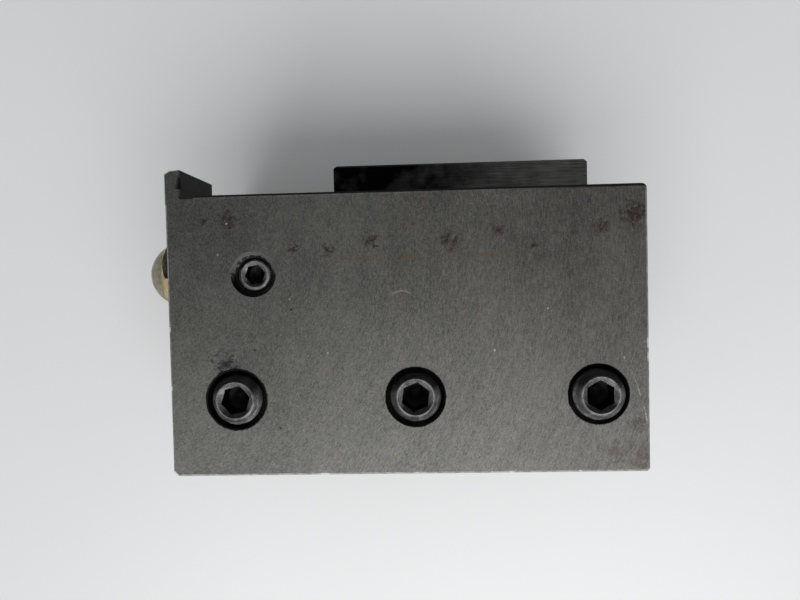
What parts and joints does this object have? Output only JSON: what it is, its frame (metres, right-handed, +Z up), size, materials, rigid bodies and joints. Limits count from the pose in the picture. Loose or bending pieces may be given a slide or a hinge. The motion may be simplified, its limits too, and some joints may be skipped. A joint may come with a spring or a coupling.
{
  "type": "quick change tool block",
  "caption": "Ground steel lathe tool block with an open tool slot, clamp screws above it, a side T-bar clamp, a locating lip and a brass ball coolant nozzle.",
  "frame": {"origin": "centre of the block's rectangular base face, under the 112 x 66.5 mm body", "axes": "+X along the block, away from the cutting end; +Y out of the mounting face; +Z up, out of the face with the clamp screws"},
  "size_m": [0.1199, 0.0761, 0.0664],
  "materials": {
    "ground_steel": "ground, aged, lightly stained",
    "black_screws": "worn black oxide",
    "hard_steel": "hardened, polished",
    "black_bar": "black oxide, fine milling lines",
    "zinc_washer": "ground",
    "spring_steel": "drawn wire",
    "nozzle_brass": "dulled, handled",
    "seat_plastic": "turned",
    "seal_rubber": "matte"
  },
  "bodies": {
    "block": {"tool_block": "ground_steel", "coolant_plug": "black_screws", "nozzle_retainer": "nozzle_brass", "nozzle_o_ring": "seal_rubber", "inlet_o_ring": "seal_rubber", "draw_washer_1": "zinc_washer", "draw_washer_2": "zinc_washer", "t_bar_spring_1": "spring_steel", "t_bar_spring_2": "spring_steel"},
    "clamp_tip_1": {"clamp_tip_1": "hard_steel"},
    "clamp_screw_1": {"clamp_screw_1": "black_screws"},
    "clamp_tip_2": {"clamp_tip_2": "hard_steel"},
    "clamp_screw_2": {"clamp_screw_2": "black_screws"},
    "clamp_tip_3": {"clamp_tip_3": "hard_steel"},
    "clamp_screw_3": {"clamp_screw_3": "black_screws"},
    "nozzle_seat": {"nozzle_seat": "seat_plastic"},
    "nozzle_ball": {"nozzle_ball": "nozzle_brass"},
    "draw_bolt_1": {"draw_bolt_1": "black_screws"},
    "draw_bolt_2": {"draw_bolt_2": "black_screws"},
    "t_bar": {"t_bar": "black_bar"}
  },
  "joints": [
    {"name": "clamp_1_travel", "type": "slide", "parent": "block", "child": "clamp_tip_1", "axis": [0, 0, -1], "range_m": [-0.00175, 0.007]},
    {"name": "clamp_1_turn", "type": "hinge", "parent": "clamp_tip_1", "child": "clamp_screw_1", "pos_m": [-0.04025, -0.01505, 0.064], "axis": [0, 0, -1], "range_deg": [-360.5, 1440.5]},
    {"name": "clamp_2_travel", "type": "slide", "parent": "block", "child": "clamp_tip_2", "axis": [0, 0, -1], "range_m": [-0.00175, 0.0063]},
    {"name": "clamp_2_turn", "type": "hinge", "parent": "clamp_tip_2", "child": "clamp_screw_2", "pos_m": [0.00205, -0.01505, 0.064], "axis": [0, 0, -1], "range_deg": [-360.5, 1295.5]},
    {"name": "clamp_3_travel", "type": "slide", "parent": "block", "child": "clamp_tip_3", "axis": [0, 0, -1], "range_m": [-0.00175, 0.0077]},
    {"name": "clamp_3_turn", "type": "hinge", "parent": "clamp_tip_3", "child": "clamp_screw_3", "pos_m": [0.04435, -0.01505, 0.064], "axis": [0, 0, -1], "range_deg": [-360.5, 1584.5]},
    {"name": "nozzle_swivel", "type": "hinge", "parent": "block", "child": "nozzle_seat", "pos_m": [-0.0566, 0.015, 0.051], "axis": [1, 0, 0], "continuous": true},
    {"name": "nozzle_tilt", "type": "hinge", "parent": "nozzle_seat", "child": "nozzle_ball", "pos_m": [-0.0566, 0.015, 0.051], "axis": [0, 1, 0], "range_deg": [-20, 20]},
    {"name": "draw_bolt_1_turn", "type": "hinge", "parent": "block", "child": "draw_bolt_1", "pos_m": [-0.0026, 0.008, 0.032], "axis": [0, 1, 0], "range_deg": [0, 540.5]},
    {"name": "draw_bolt_2_turn", "type": "hinge", "parent": "block", "child": "draw_bolt_2", "pos_m": [0.0314, 0.008, 0.032], "axis": [0, 1, 0], "range_deg": [0, 540.5]},
    {"name": "t_bar_draw", "type": "slide", "parent": "block", "child": "t_bar", "axis": [0, -1, 0], "range_m": [0, 0.00225], "deforming": ["t_bar_spring_1", "t_bar_spring_2"]}
  ],
  "couplings": [
    {"joint": "clamp_1_turn", "follows": "clamp_1_travel", "rad_per_m": 3590.4},
    {"joint": "clamp_2_turn", "follows": "clamp_2_travel", "rad_per_m": 3590.4},
    {"joint": "clamp_3_turn", "follows": "clamp_3_travel", "rad_per_m": 3590.4},
    {"joint": "draw_bolt_1_turn", "follows": "t_bar_draw", "rad_per_m": 4188.8},
    {"joint": "draw_bolt_2_turn", "follows": "t_bar_draw", "rad_per_m": 4188.8}
  ]
}
